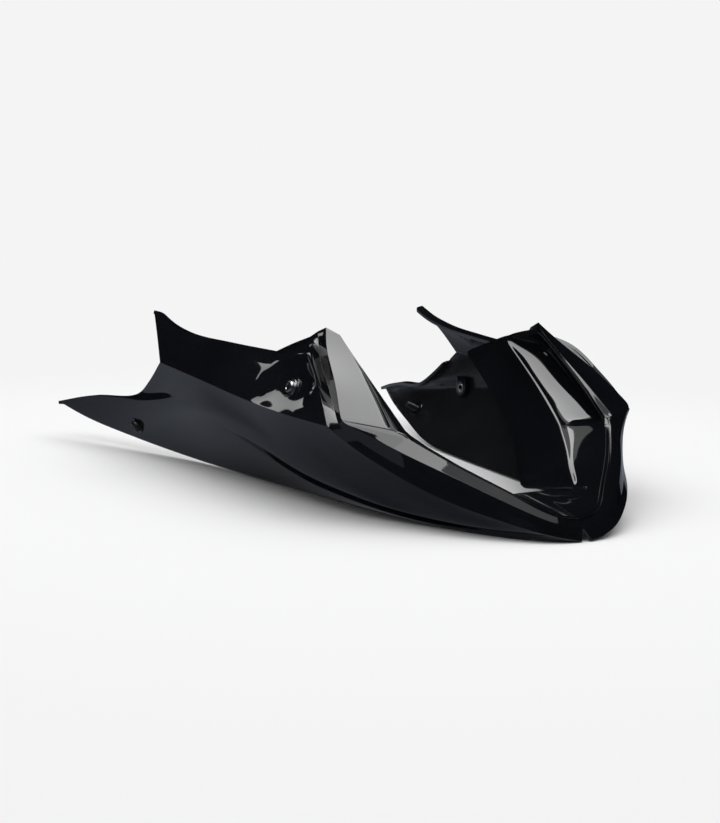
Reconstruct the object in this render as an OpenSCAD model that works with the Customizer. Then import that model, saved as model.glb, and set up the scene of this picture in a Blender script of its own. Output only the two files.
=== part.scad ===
// Motorcycle belly pan: a two-sided moulded shell joined by a bridge behind the chin,
// with an open air scoop at the front and its own screws, washers, bushes and inserts.
// Units are millimetres. The front is +X, the rider's left is +Y and up is +Z.
// The pan stands on its own lower edges with the floor at z = 0.

/* [Which piece] */
// Sub-part to draw, or all of them

/* [Overall size] */
// Length from the chin to the tips of the tails
overall_length = 601; // [560:1:640]
// Width across the tips of the tails
overall_width = 374; // [350:1:396]
// Height of the peaks above the floor
overall_height = 139; // [130:1:150]

/* [Shell] */
// Thickness of the moulded wall
wall = 3; // [2.4:0.1:3.6]
// Width of the rim that is folded inwards along the ear and the tail
rim_width = 9; // [7:0.5:12]
// Depth of the slash pressed into the flank
slash_depth = 6; // [3:0.5:8]
// Depth of the trough beside the inner edge of the lip
trough_depth = 3; // [1.5:0.5:4]
// Depth of the scoop's pocket between the lip and the fold
scoop_depth = 9; // [5:0.5:12]
// Depth of the dish around the front screw
dish_depth = 5; // [3:0.5:7]
// Half width of the notch under the chin
notch_half = 5; // [3.5:0.5:7]
// Height of the notch under the chin
notch_height = 9; // [6:0.5:10]
// Length of the notch under the chin
notch_back = 45; // [35:1:50]

/* [Front screw] */
// Share of the side's length, from the rear, at which the front screw stands
front_screw_along = 0.808; // [0.8:0.004:0.816]
// Share of the band's height, from the top edge, at which the front screw stands
front_screw_down = 0.64; // [0.6:0.02:0.68]
// How far the front seat is sunk below the dished skin
front_seat_sink = 1.5; // [1:0.1:2]
// Upward lean of the front screw
front_screw_tilt = 20; // [14:1:26]
// Shank diameter of the screws
screw_d = 6; // [5.5:0.1:6]
// Pitch diameter of the screws' thread, which a plain cylinder stands for
thread_d = 5.35; // [5.2:0.05:5.4]
// Head diameter of the front screw
front_head_d = 10.5; // [10:0.5:12]
// Head height of the front screw
front_head_h = 3.3; // [2.8:0.1:3.8]
// Length of the front screw under its head
front_screw_length = 22; // [20:0.5:26]
// Width across the flats of the hexagon sockets
socket_af = 4; // [3:0.5:4]
// Outside diameter of the front washer
washer_d = 14; // [13:0.5:16]
// Thickness of the front washer
washer_t = 1.6; // [1:0.1:2]
// Flange diameter of the bush behind the front seat
bush_flange_d = 15; // [14:0.5:16]
// Body diameter of the bush in the shell
bush_d = 10; // [9:0.5:11]
// Thickness of the bush's flange
bush_flange_t = 2; // [1.5:0.5:3]

/* [Rear screw] */
// Share of the side's length, from the rear, at which the rear screw stands
rear_screw_along = 0.173; // [0.165:0.004:0.181]
// Share of the flank's height, from the shoulder, at which the rear screw stands
rear_screw_down = 0.845; // [0.835:0.005:0.85]
// Downward lean of the rear screw
rear_screw_tilt = 26; // [22:1:30]
// How far the rear seat stands proud of the skin
rear_seat_proud = 0.6; // [0.4:0.1:1.2]
// Head diameter of the rear screw
rear_head_d = 11.5; // [10.5:0.5:12]
// Head height of the rear screw
rear_head_h = 4; // [3:0.5:4.5]
// Length of the rear screw under its head
rear_screw_length = 18; // [16:0.5:22]

/* [Boss and insert] */
// Share of the side's length, from the rear, at which the threaded boss stands
boss_along = 0.2245; // [0.2165:0.004:0.2325]
// Share of the flank's height, from the shoulder, at which the threaded boss stands
boss_down = 0.426; // [0.41:0.004:0.438]
// Height of the threaded boss above the inner face
boss_height = 6; // [5.8:0.1:6.4]
// Width of the D shaped boss
boss_width = 16; // [14.5:0.5:17]
// Height of the flat top of the boss above its axis
boss_top = 11; // [9:0.5:12]
// Outside diameter of the insert
insert_d = 9; // [8:0.5:10]
// Core diameter of the insert's thread
insert_core_d = 5; // [4.5:0.1:5.4]
// Length of the insert
insert_length = 6.5; // [5:0.5:7]

/* [Fits] */
// Radial clearance of the screws in their holes
screw_clearance = 0.25; // [0.1:0.05:0.4]
// Radial clearance of the bush in the shell
bush_clearance = 0.1; // [0.05:0.05:0.2]
// Radial clearance of the insert in its boss
insert_clearance = 0.05; // [0.02:0.01:0.1]

/* [Smoothness] */
// Columns along each side
side_columns = 24; // [18:1:28]
// Rows of the upper band
band_rows = 6; // [5:1:8]
// Rows between the shoulder and the bridge
flank_rows = 9; // [7:1:11]

/* [Hidden] */

// Colours of the finishes
black = [0.02, 0.02, 0.022];
steel = [0.62, 0.63, 0.65];
brass = [0.7, 0.62, 0.42];
soft = [0.05, 0.05, 0.05];

// Every key point below is [distance behind the chin, half width, height above the floor]
// of the standard pan, and is stretched with the overall size.
stretch = [overall_length / 601, overall_width / 374, overall_height / 139];

// The top edge runs from the ear to the valley, then climbs to the peak
ear_edge = [[464, 144, 133], [440, 143, 125.5], [409, 141, 120], [340, 130, 116.5], [268, 118, 115]];
peak_edge = [[268, 118, 115], [250, 112, 123], [231, 107, 130]];
// The rear edge of the ear drops to the shoulder, the crotch and the tail
ear_back = [[464, 144, 133], [437, 152, 112], [416, 158, 91]];
tail_edge = [[416, 158, 91], [443, 157, 71], [467, 157, 57], [532, 170, 48], [600, 187, 34]];
tail_knots = [0, 0.14, 0.26, 0.5, 1];
// The shoulder runs from the rear of the ear to the corner of the lip
shoulder = [[416, 158, 91], [328, 159, 86], [252, 157, 80], [190, 153, 76], [134, 143, 73]];
// The middle of the flank carries the slash and ends beside the chin
flank = [[532, 170, 48], [480, 161.5, 49], [420, 157.5, 52.5], [302, 152, 51], [249, 141, 40], [204, 128, 26], [156, 114, 17],
  [120, 99, 11], [94, 82, 6.5], [50, 57, 4.5]];
// The lower edge is the one that the pan stands on
belly = [[600, 187, 34], [569, 176, 25], [493, 150, 12], [407, 122, 2], [329, 110, 0], [256, 100, 0],
  [190, 91, 0], [129, 80, 0], [79, 67, 0], [39, 48, 0], [13, 26, 0], [0, 0, 0.5]];

// Ribs of the lip above the corner: outer edge, channel, ridge, inner edge, fold and plate.
// The first rib is at the peak and the last at the corner.
lip_high = [
  [[231, 107, 130], [222, 105, 135], [212, 103, 139], [200, 97, 134], [239, 87, 125], [288, 80, 107]],
  [[205, 122, 126], [206, 112, 118], [199, 110, 128], [190, 97, 127.5], [222, 87, 114], [277, 79, 101]],
  [[164, 135, 100], [164, 125, 95], [158, 124, 103], [145, 96.5, 100], [180, 84, 88], [240, 73, 81]],
  [[134, 143, 73], [128, 137, 74.5], [125.5, 136, 77.5], [103, 94, 72], [139, 75, 66], [190, 60, 56]]];
// Ribs of the lip from the corner to the middle plane, where the two sides join
lip_low = [
  [[134, 143, 73], [128, 137, 74.5], [125.5, 136, 77.5], [103, 94, 72], [139, 75, 66], [190, 60, 56]],
  [[128, 134, 64], [123, 128, 66.5], [119, 128, 73], [99, 92.5, 69.5], [131, 71, 62], [184, 58, 52]],
  [[92, 104, 39], [94, 103, 47], [95, 103, 57.5], [92, 89, 64.5], [108, 60, 50], [163, 50, 36]],
  [[58, 82, 25], [61, 80, 33], [63.5, 79, 43.5], [64, 67, 48], [88, 49, 38.5], [150, 43, 24]],
  [[30, 57, 15], [33, 55, 21.5], [35.5, 53.5, 29], [40, 44.5, 34], [70, 40, 26], [139, 38, 14]],
  [[5, 22, 4.5], [7.5, 20.5, 8.5], [10, 19, 13], [15, 18, 18], [67, 14, 25.5], [139, 14, 14]],
  [[0, 0, 0.5], [3, 0, 4.5], [6, 0, 9.5], [11, 0, 15], [66, 0, 26], [139, 0, 14]]];
// Share of the low lip at which each of those ribs stands
lip_share = [0, 0.08, 0.31, 0.51, 0.69, 0.9, 1];

// Plain mixing and smoothing
function mix(a, b, t) = a + (b - a) * t;
function clamp(t) = min(max(t, 0), 1);
function smooth(t) = let (s = clamp(t)) s * s * (3 - 2 * s);
function total(list, n) = n <= 0 ? 0 : list[n - 1] + total(list, n - 1);
function unit(v) = v / max(norm(v), 1e-9);

// A smooth curve through key points, with the knots at the given places
function slope(p, k, i) = i == 0 ? (p[1] - p[0]) / (k[1] - k[0])
  : i == len(p) - 1 ? (p[i] - p[i - 1]) / (k[i] - k[i - 1])
  : let (a = k[i] - k[i - 1], b = k[i + 1] - k[i])
    ((p[i] - p[i - 1]) / a * b + (p[i + 1] - p[i]) / b * a) / (a + b);
function span(k, t, i = 0) = i >= len(k) - 2 || t <= k[i + 1] ? i : span(k, t, i + 1);
function through(p, k, t) =
  let (i = span(k, t), w = k[i + 1] - k[i], f = (t - k[i]) / w, g = 1 - f)
  p[i] * (1 + 2 * f) * g * g + p[i + 1] * f * f * (3 - 2 * f)
  + slope(p, k, i) * w * f * g * g - slope(p, k, i + 1) * w * f * f * g;
function knots(p) = let (d = [for (i = [0:len(p) - 2]) norm(p[i + 1] - p[i])], all = total(d, len(d)))
  [for (i = [0:len(p) - 1]) total(d, i) / all];
function along(p, t) = through(p, knots(p), t);

// Columns of the grid: 0 is the folded rim, 1 the rear edge, then the side, then the lip
c_edge = 1 + side_columns;
c_valley = 1 + round(side_columns * 0.66);
c_channel = c_edge + 1;
c_ridge = c_edge + 2;
c_face = c_edge + 4;
c_trough = c_edge + 5;
c_inner = c_edge + 6;
c_fold = c_edge + 11;
c_last = c_edge + 14;
// Rows of the grid: 0 is the folded rim, 1 the top edge
r_corner = 1 + band_rows;
r_bridge = r_corner + flank_rows;
r_slash = r_bridge + 3;
r_last = r_slash + 5;

// Share of the low lip reached by each row
slash_share = 0.9;
function share(r) = r <= r_bridge ? 0.69 * (r - r_corner) / flank_rows
  : r <= r_slash ? mix(0.69, slash_share, (r - r_bridge) / 3)
  : mix(slash_share, 1, (r - r_slash) / 5);
// Place of each row across the flank, from the shoulder at 0 to the belly at 1
function across(r) = r <= r_slash ? 0.5 * (r - r_corner) / (r_slash - r_corner)
  : mix(0.5, 1, (r - r_slash) / 5);

// One of the lip's key lines at a row
high_knots = [0, 0.17, 0.55, 1];
function lip_line(n, r) = r <= r_corner
  ? through([for (rib = lip_high) rib[n]], high_knots, (r - 1) / band_rows)
  : through([for (rib = lip_low) rib[n]], lip_share, share(r));

// The side skin above the shoulder
function top_at(c) = c <= c_valley ? along(ear_edge, (c - 1) / (c_valley - 1))
  : along(peak_edge, (c - c_valley) / (c_edge - c_valley));
function band(c, r) =
  let (u = (c - 1) / side_columns, v = (r - 1) / band_rows, top = top_at(c), low = along(shoulder, u),
    rear = along(ear_back, v), front = lip_line(0, r))
  mix(top, low, v) + pow(1 - u, 2) * (rear - mix(ear_back[0], ear_back[2], v))
  + pow(u, 2) * (front - mix(top_at(c_edge), shoulder[4], v));

// The side skin below the shoulder
flank_all = concat(flank, [lip_line(0, r_slash)]);
flank_knots = [0, 0.5, 1];
function skin(c, r) =
  let (u = (c - 1) / side_columns, v = across(r),
    lines = [along(shoulder, u), along(flank_all, u), along(belly, u)],
    rears = [tail_edge[0], tail_edge[3], tail_edge[4]],
    fronts = [lip_line(0, r_corner), lip_line(0, r_slash), lip_line(0, r_last)])
  through(lines, flank_knots, v)
  + pow(1 - u, 6) * (through(tail_edge, tail_knots, v) - through(rears, flank_knots, v))
  + pow(u, 3) * (lip_line(0, r) - through(fronts, flank_knots, v));

// The dish around the front screw, pressed inwards
dish_spot = [207, 141, 95];
function dish(p) = let (d = norm([(p[0] - dish_spot[0]) / 34, (p[2] - dish_spot[2]) / 19]))
  [0, -dish_depth * smooth(1.6 - d * 1.2), 0];
// The slash, pressed inwards and up along the middle of the flank
function slash(c, r) = let (u = (c - 1) / side_columns,
    w = smooth((u - 0.47) / 0.16) * smooth((0.82 - u) / 0.1), k = r == r_slash ? 1 : 0)
  slash_depth * w * k * [0, -0.8, 0.6];

// The lip, the scoop and the plate, as a sheet from the outer edge to the rear of the plate
function lip(c, r) =
  let (ridge = lip_line(2, r), inner = lip_line(3, r), fold = lip_line(4, r), rear = lip_line(5, r),
    down = unit(inner - ridge), fade = smooth((r - 2) / 3),
    deep = scoop_depth * smooth((r - 0.5) / 2) * smooth((r_bridge + 1 - r) / 5),
    sink = r <= r_corner ? [0, 1, 0] : unit([0.2, 1, -0.6]))
  c == c_channel ? lip_line(1, r)
  : c == c_ridge ? ridge
  : c == c_ridge + 1 ? mix(ridge, inner, 0.33)
  : c == c_face ? mix(ridge, inner, 0.66)
  : c == c_trough ? mix(ridge, inner, 0.84) + trough_depth * fade * [0.75, 0.1, -0.65]
  : c == c_inner ? inner
  : c == c_inner + 1 ? mix(inner, fold, 0.12)
  : c == c_inner + 2 ? mix(inner, fold, 0.35) + deep * 0.8 * sink
  : c == c_inner + 3 ? mix(inner, fold, 0.65) + deep * sink
  : c == c_inner + 4 ? mix(inner, fold, 0.88) + deep * 0.6 * sink
  : c == c_fold ? fold
  : mix(fold, rear, (c - c_fold) / (c_last - c_fold));

// The outer face of the whole sheet, before it is stretched
function sheet(c, r) =
  c > c_edge ? lip(c, max(r, 1))
  : c == 0 ? let (p = sheet(1, max(r, 1))) p + rim_width * [0.12, -0.98, -0.12]
  : r == 0 ? let (p = sheet(c, 1)) p + rim_width * [0, -0.97, -0.2] * smooth((c_valley + 2 - c) / 6)
  : c == c_edge ? lip_line(0, r)
  : r <= r_corner ? let (p = band(c, r)) p + dish(p) * smooth((c_edge - c) / 2) * smooth((r_corner - r) / 1.5)
  : skin(c, r) + slash(c, r);

outer = [for (c = [0:c_last]) [for (r = [0:r_last])
  let (p = sheet(c, r)) [-p[0] * stretch[0], (r == r_last && c >= c_edge ? 0 : p[1]) * stretch[1],
    p[2] * stretch[2]]]];

// Cells that exist: the rims are only on the ear and the tail, and the plate ends at the bridge
function cell(c, r) = c >= 0 && r >= 0 && c < c_last && r < r_last
  && (r >= 1 || (c >= 1 && c < c_valley)) && (c >= 1 || r >= r_corner + 2)
  && !(c >= c_fold && r >= r_bridge);
function cell_normal(c, r) = !cell(c, r) ? [0, 0, 0]
  : let (a = outer[c][r], b = outer[c + 1][r], d = outer[c + 1][r + 1], e = outer[c][r + 1])
    cross(b - e, d - a);
function mirror_part(v, c, r) = r == r_last && c >= c_edge ? [v[0], 0, v[2]] : v;
function normal(c, r) = unit(mirror_part(
  unit(cell_normal(c - 1, r - 1)) + unit(cell_normal(c, r - 1)) + unit(cell_normal(c - 1, r))
  + unit(cell_normal(c, r)), c, r));
function widest(c, r, n) = min([for (i = [-1, 0], j = [-1, 0])
  cell(c + i, r + j) ? n * unit(cell_normal(c + i, r + j)) : 1]);
function inward(c, r) = let (n = normal(c, r)) outer[c][r] - n * wall / max(widest(c, r, n), 0.72);
inner_face = [for (c = [0:c_last]) [for (r = [0:r_last]) inward(c, r)]];

// Numbering of the points on the right half, and of those on the left half
count = (c_last + 1) * (r_last + 1);
function right(c, r, k) = k * count + c * (r_last + 1) + r;
function left(c, r, k) = r == r_last && c >= c_edge ? right(c, r, k) : 2 * count + right(c, r, k);
flat_outer = [for (c = outer) for (p = c) p];
flat_inner = [for (c = inner_face) for (p = c) p];
function flip(p) = [p[0], -p[1], p[2]];
shell_points = concat([for (p = flat_outer) flip(p)], [for (p = flat_inner) flip(p)], flat_outer, flat_inner);

function two(a, b, d, e) = [[a, b, d], [a, d, e]];
function joined(c, r) = c >= c_edge && r == r_last - 1;
function edge_faces(h, c, r) = concat(
  cell(c, r - 1) ? [] : two(h[0], h[1], h[5], h[4]),
  cell(c + 1, r) ? [] : two(h[1], h[2], h[6], h[5]),
  cell(c, r + 1) || joined(c, r) ? [] : two(h[2], h[3], h[7], h[6]),
  cell(c - 1, r) ? [] : two(h[3], h[0], h[4], h[7]));
function cell_faces(h, c, r) = concat(two(h[3], h[2], h[1], h[0]), two(h[4], h[5], h[6], h[7]),
  edge_faces(h, c, r));
function corners_right(c, r) = [for (k = [0, 1]) for (q = [[c, r], [c + 1, r], [c + 1, r + 1], [c, r + 1]])
  right(q[0], q[1], k)];
function corners_left(c, r) = [for (k = [0, 1]) for (q = [[c, r], [c + 1, r], [c + 1, r + 1], [c, r + 1]])
  left(q[0], q[1], k)];
function turned(f) = [f[2], f[1], f[0]];
shell_faces = [for (c = [0:c_last - 1], r = [0:r_last - 1]) if (cell(c, r))
  for (f = concat([for (g = cell_faces(corners_right(c, r), c, r)) turned(g)],
    cell_faces(corners_left(c, r), c, r))) f];

// Everything is drawn with the chin at x = 0 and then moved so that the middle is at the origin
module centred() translate([overall_length / 2, 0, 0]) children();

// The fasteners stand on the skin, so they follow it when the pan is stretched
function stretched(p) = [p[0] * stretch[0], p[1] * stretch[1], p[2] * stretch[2]];
function on_band(u, v) = let (p = band(1 + u * side_columns, 1 + v * band_rows)) stretched(p + dish(p));
function on_flank(u, v) = stretched(skin(1 + u * side_columns,
  v <= 0.5 ? r_corner + 2 * v * (r_slash - r_corner) : r_slash + (2 * v - 1) * (r_last - r_slash)));
front_seat = on_band(front_screw_along, front_screw_down) - [0, front_seat_sink, 0];
rear_seat = on_flank(rear_screw_along, rear_screw_down) + [0, rear_seat_proud, 0];
boss_seat = on_flank(boss_along, boss_down) - [0, wall + boss_height, 0];

// Places of the fasteners: each is drawn pointing outwards along +Z from the middle of its seat
module at_front(side) centred() translate([-front_seat[0], side * front_seat[1], front_seat[2]])
  rotate([side * (front_screw_tilt - 90), 0, 0]) children();
module at_rear(side) centred() translate([-rear_seat[0], side * rear_seat[1], rear_seat[2]])
  rotate([side * (-90 - rear_screw_tilt), 0, 0]) children();
module at_boss(side) centred() translate([-boss_seat[0], side * boss_seat[1], boss_seat[2]])
  rotate([side * 90, 0, 0]) children();

front_boss_depth = wall + 4;
rear_boss_depth = wall + 2;
hole_d = screw_d + 2 * screw_clearance;
pad_depth = boss_height + wall * 0.3;
// The thread starts a little way behind what the screw clamps
thread_gap = 0.4;
// Between the plain shank and the thread runs a short neck
neck_length = 0.6;
neck_d = 4.8;
front_plain = washer_t + front_boss_depth + bush_flange_t + thread_gap;
rear_plain = rear_boss_depth + thread_gap;

module sheet_solid() centred() polyhedron(points = shell_points, faces = shell_faces, convexity = 12);

// The D shaped boss stands inwards from the wall
module boss_pad(side) at_boss(side) mirror([0, side > 0 ? 0 : 1, 0])
  translate([0, 0, -pad_depth]) linear_extrude(pad_depth) {
    circle(d = boss_width, $fn = 48);
    translate([-boss_width / 2, 0]) square([boss_width, boss_top]);
  }

module pan_shell() color(black) difference() {
  union() {
    sheet_solid();
    for (side = [-1, 1]) {
      at_front(side) translate([0, 0, -front_boss_depth]) cylinder(d = bush_flange_d + 3, h = front_boss_depth, $fn = 48);
      at_rear(side) translate([0, 0, -rear_boss_depth]) cylinder(d = rear_head_d + 4, h = rear_boss_depth, $fn = 48);
      boss_pad(side);
    }
  }
  for (side = [-1, 1]) {
    at_front(side) {
      cylinder(d = washer_d + 3, h = washer_d, $fn = 48);
      translate([0, 0, -front_boss_depth - 6]) cylinder(d = bush_d + 2 * bush_clearance, h = front_boss_depth + 8, $fn = 48);
    }
    at_rear(side) {
      cylinder(d = rear_head_d + 2, h = rear_head_d, $fn = 48);
      translate([0, 0, -rear_boss_depth - 4]) cylinder(d = hole_d, h = rear_boss_depth + 6, $fn = 48);
    }
    at_boss(side) translate([0, 0, -insert_length]) cylinder(d = insert_d + 2 * insert_clearance, h = insert_length + 8, $fn = 48);
  }
  centred() translate([-notch_back, 0, 0]) rotate([90, 0, 90]) linear_extrude(notch_back + wall)
    polygon([[-notch_half - 2, -2], [notch_half + 2, -2], [notch_half, 0], [0.6, notch_height],
      [-0.6, notch_height], [-notch_half, 0]]);
}

// Dome headed screw with a hexagon socket, its head's underside at z = 0. The plain shank is as long
// as what the screw clamps, and the rest is the thread's free end.
module screw(head_d, head_h, shank, plain) difference() {
  union() {
    rotate_extrude($fn = 64) polygon(concat([[0, 0], [head_d / 2, 0], [head_d / 2, head_h * 0.3]],
      [for (a = [15:15:75]) [head_d / 2 * (0.62 + 0.38 * cos(a)), head_h * (0.3 + 0.7 * sin(a))]],
      [[head_d / 2 * 0.62, head_h], [0, head_h]]));
    translate([0, 0, -plain]) cylinder(d = screw_d, h = plain + head_h * 0.1, $fn = 48);
    translate([0, 0, -plain - neck_length - 0.1]) cylinder(d = neck_d, h = neck_length + 0.2, $fn = 48);
    translate([0, 0, -shank]) cylinder(d = thread_d, h = shank - plain - neck_length, $fn = 48);
  }
  translate([0, 0, head_h - 2]) cylinder(d = socket_af / cos(30), h = 3, $fn = 6);
}

module front_screw(side) color(steel) at_front(side) translate([0, 0, washer_t])
  screw(front_head_d, front_head_h, front_screw_length, front_plain);
module front_washer(side) color(steel) at_front(side) difference() {
  cylinder(d = washer_d, h = washer_t, $fn = 64);
  translate([0, 0, -1]) cylinder(d = hole_d, h = washer_t + 2, $fn = 48);
}
// Soft bush: its body fills the hole in the shell and its flange lies on the inner face of the boss
module front_bush(side) color(soft) at_front(side) difference() {
  union() {
    translate([0, 0, -front_boss_depth]) cylinder(d = bush_d, h = front_boss_depth, $fn = 64);
    translate([0, 0, -front_boss_depth - bush_flange_t]) cylinder(d = bush_flange_d, h = bush_flange_t, $fn = 64);
  }
  translate([0, 0, -front_boss_depth - bush_flange_t - 1])
    cylinder(d = hole_d, h = front_boss_depth + bush_flange_t + 2, $fn = 48);
}
module rear_screw(side) color(soft) at_rear(side) screw(rear_head_d, rear_head_h, rear_screw_length, rear_plain);
module boss_insert(side) color(brass) at_boss(side) difference() {
  translate([0, 0, -insert_length]) cylinder(d = insert_d, h = insert_length + 0.4, $fn = 64);
  translate([0, 0, -insert_length - 1]) cylinder(d = insert_core_d, h = insert_length + 3, $fn = 48);
}

module front_screw_l() front_screw(1);
module front_screw_r() front_screw(-1);
module front_washer_l() front_washer(1);
module front_washer_r() front_washer(-1);
module front_bush_l() front_bush(1);
module front_bush_r() front_bush(-1);
module rear_screw_l() rear_screw(1);
module rear_screw_r() rear_screw(-1);
module boss_insert_l() boss_insert(1);
module boss_insert_r() boss_insert(-1);

pan_shell();
front_screw_l();
front_screw_r();
front_washer_l();
front_washer_r();
front_bush_l();
front_bush_r();
rear_screw_l();
rear_screw_r();
boss_insert_l();
boss_insert_r();
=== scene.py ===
# %% [markdown]
# A motorcycle belly pan: one gloss black moulded shell that runs under the engine, with its own
# screws, washers, bushes and threaded inserts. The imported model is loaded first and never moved,
# because every size and place in this lesson is measured from it.

# %% Load the frame and keep its box
from math import atan2, cos, hypot, pi, radians, sin, tau
import bmesh
import bpy
from mathutils import Matrix, Vector


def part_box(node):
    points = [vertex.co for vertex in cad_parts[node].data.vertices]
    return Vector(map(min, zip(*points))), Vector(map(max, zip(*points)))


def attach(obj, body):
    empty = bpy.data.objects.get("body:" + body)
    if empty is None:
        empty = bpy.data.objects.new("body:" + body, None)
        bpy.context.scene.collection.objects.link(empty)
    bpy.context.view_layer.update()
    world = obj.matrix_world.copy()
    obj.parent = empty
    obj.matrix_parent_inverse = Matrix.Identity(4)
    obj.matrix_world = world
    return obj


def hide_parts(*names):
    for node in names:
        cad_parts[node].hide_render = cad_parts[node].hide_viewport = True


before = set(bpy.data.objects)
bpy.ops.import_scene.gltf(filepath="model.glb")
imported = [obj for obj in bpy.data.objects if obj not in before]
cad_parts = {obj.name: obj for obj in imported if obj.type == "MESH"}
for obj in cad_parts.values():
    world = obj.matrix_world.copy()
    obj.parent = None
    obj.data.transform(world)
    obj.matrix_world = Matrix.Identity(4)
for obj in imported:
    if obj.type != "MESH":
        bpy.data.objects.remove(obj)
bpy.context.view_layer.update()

MM = 0.001

# %% [markdown]
# The camera comes before any piece. The photograph looks at the pan from 30 degrees off its nose, a
# little above it, from about one and a half metres, and the camera is turned by a degree or so.

# %% The camera
camera_target = Vector((-33.0, 0.0, 50.6)) * MM
camera_distance = 1450 * MM
camera_azimuth, camera_elevation, camera_roll = radians(30), radians(8), radians(1.5)
focal_px, image_height_px, sensor_mm = 1624, 823, 36

def aim(eye, target, roll=0.0):
    """A matrix that stands at eye and looks along its own -Z to target."""
    forward = (target - eye).normalized()
    right = forward.cross(Vector((0, 0, 1))).normalized()
    upward = right.cross(forward)
    turned_right = right * cos(roll) + upward * sin(roll)
    turned_up = upward * cos(roll) - right * sin(roll)
    axes = Matrix((turned_right, turned_up, -forward)).transposed().to_4x4()
    return Matrix.Translation(eye) @ axes

def around(azimuth, elevation):
    """The direction from the pan towards something at that azimuth off the nose, on its right."""
    flat = cos(elevation)
    return Vector((flat * cos(azimuth), -flat * sin(azimuth), sin(elevation)))

def new_object(name, data):
    obj = bpy.data.objects.new(name, data)
    bpy.context.scene.collection.objects.link(obj)
    return obj

lens = bpy.data.cameras.new("camera")
lens.sensor_width = sensor_mm
lens.lens = focal_px / image_height_px * sensor_mm
camera = new_object("camera", lens)
camera.matrix_world = aim(camera_target + camera_distance * around(camera_azimuth, camera_elevation),
                          camera_target, camera_roll)
bpy.context.scene.camera = camera
print("camera lens in mm:", round(lens.lens, 2))

# %% [markdown]
# The shell is a lofted skin. A designer draws a few lines along the body, such as the shoulder and the
# lower edge, and the skin is stretched between them. A curve through given points is worked out with
# the cubic rule below, so it bends smoothly and passes exactly through each point.

# %% Curves through key points
def mix(a, b, t):
    return a + (b - a) * t

def smooth(t):
    t = min(max(t, 0.0), 1.0)
    return t * t * (3 - 2 * t)

def through(points, knots, t):
    """The place at t on a smooth curve that passes points[i] at knots[i]."""
    def slope(i):
        before = (points[i] - points[i - 1]) / (knots[i] - knots[i - 1]) if i else None
        after = (points[i + 1] - points[i]) / (knots[i + 1] - knots[i]) if i + 1 < len(points) else None
        if before is None or after is None:
            return after if before is None else before
        a, b = knots[i] - knots[i - 1], knots[i + 1] - knots[i]
        return (before * b + after * a) / (a + b)
    i = next((n for n in range(len(knots) - 2) if t <= knots[n + 1]), len(knots) - 2)
    width = knots[i + 1] - knots[i]
    f = (t - knots[i]) / width
    g = 1 - f
    return (points[i] * (1 + 2 * f) * g * g + points[i + 1] * f * f * (3 - 2 * f)
            + slope(i) * width * f * g * g - slope(i + 1) * width * f * f * g)

def along(points, t):
    """The same curve with its knots spread by the distance between the points."""
    steps = [(b - a).length for a, b in zip(points, points[1:])]
    return through(points, [sum(steps[:n]) / sum(steps) for n in range(len(points))], t)

def line(*points):
    return [Vector(p) for p in points]

print("halfway along a straight curve:", tuple(along(line((0, 0, 0), (1, 0, 0), (2, 0, 0)), 0.5)))

# %% [markdown]
# Each key point is written as a distance behind the chin, a half width and a height above the floor, in
# millimetres, which is how the pan is drawn up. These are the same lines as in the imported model, so
# the skin lies on it: the ear at the back, the climb to the peak, the shoulder, the flank with its
# slash, and the lower edge that the pan stands on.

# %% The lines along the side
ear_edge = line((464, 144, 133), (440, 143, 125.5), (409, 141, 120), (340, 130, 116.5), (268, 118, 115))
peak_edge = line((268, 118, 115), (250, 112, 123), (231, 107, 130))
ear_back = line((464, 144, 133), (437, 152, 112), (416, 158, 91))
tail_edge = line((416, 158, 91), (443, 157, 71), (467, 157, 57), (532, 170, 48), (600, 187, 34))
tail_knots = [0, 0.14, 0.26, 0.5, 1]
shoulder = line((416, 158, 91), (328, 159, 86), (252, 157, 80), (190, 153, 76), (134, 143, 73))
flank = line((532, 170, 48), (480, 161.5, 49), (420, 157.5, 52.5), (302, 152, 51), (249, 141, 40),
             (204, 128, 26), (156, 114, 17), (120, 99, 11), (94, 82, 6.5), (50, 57, 4.5))
belly = line((600, 187, 34), (569, 176, 25), (493, 150, 12), (407, 122, 2), (329, 110, 0), (256, 100, 0),
             (190, 91, 0), (129, 80, 0), (79, 67, 0), (39, 48, 0), (13, 26, 0), (0, 0, 0.5))
side_lines = (ear_edge, peak_edge, ear_back, tail_edge, shoulder, flank, belly)
print("points on the side lines:", sum(map(len, side_lines)))

# %% [markdown]
# The front of the pan is a lip that folds over and runs back inside as a scoop and a flat plate. It is
# drawn as ribs across it: outer edge, channel, ridge, inner edge, fold, and the rear of the plate. The
# high ribs run from the peak down to the corner, and the low ones from there to the middle, where
# the two sides meet.

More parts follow.
